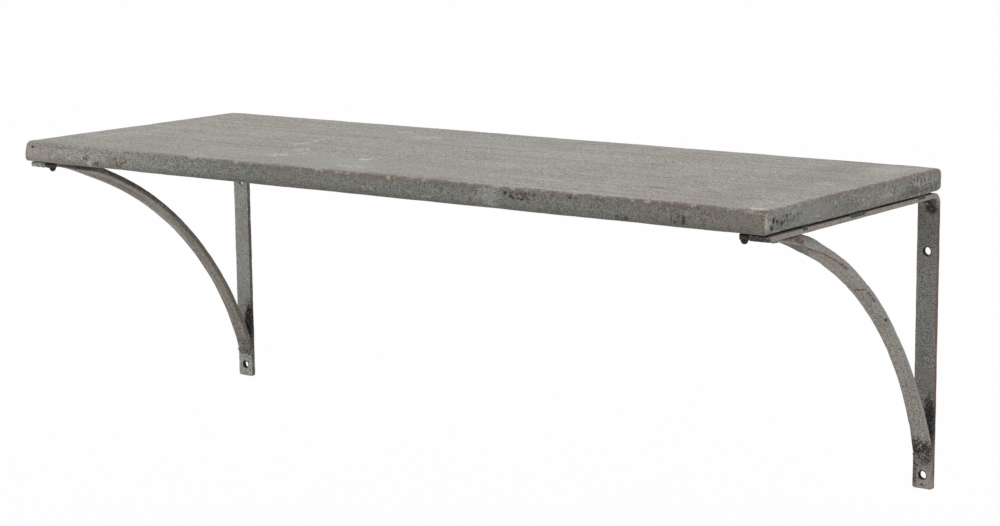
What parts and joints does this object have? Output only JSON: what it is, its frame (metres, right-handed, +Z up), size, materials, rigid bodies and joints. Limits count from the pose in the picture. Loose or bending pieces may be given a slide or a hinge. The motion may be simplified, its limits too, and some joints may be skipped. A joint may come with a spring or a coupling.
{
  "type": "wall shelf",
  "caption": "Long painted wooden plank carried on a pair of flat-iron wall brackets, each an angle strap with an arched brace welded into it; hangs on wall screws.",
  "frame": {"origin": "on the wall plane, in the middle of the rectangle of the wall holes, two in each bracket leg", "axes": "+X along the board to the right as seen from the room, +Y into the wall, +Z up"},
  "size_m": [0.75, 0.2655, 0.257],
  "materials": {
    "painted_wood": "matt grey paint, brushed along the grain and worn brown on the arrises",
    "bracket_iron": "dull taupe-grey paint over iron, rust on the edges",
    "weld_metal": "dark lumpy weld, painted over, with rust in the pits",
    "screw_steel": "dull dark steel, painted over with the bracket",
    "green_rubber": "matt grey-green rubber"
  },
  "bodies": {
    "root": {"shelf_board": "painted_wood", "left_bracket_strap": "bracket_iron", "left_brace": "bracket_iron", "left_upper_weld": "weld_metal", "left_lower_weld": "weld_metal", "left_front_lug": "bracket_iron", "left_front_screw": "screw_steel", "left_rear_lug": "bracket_iron", "left_rear_screw": "screw_steel", "left_front_spacer": "green_rubber", "left_middle_spacer": "green_rubber", "left_rear_spacer": "green_rubber", "right_bracket_strap": "bracket_iron", "right_brace": "bracket_iron", "right_upper_weld": "weld_metal", "right_lower_weld": "weld_metal", "right_front_lug": "bracket_iron", "right_front_screw": "screw_steel", "right_rear_lug": "bracket_iron", "right_rear_screw": "screw_steel", "right_front_spacer": "green_rubber", "right_middle_spacer": "green_rubber", "right_rear_spacer": "green_rubber"}
  },
  "joints": []
}
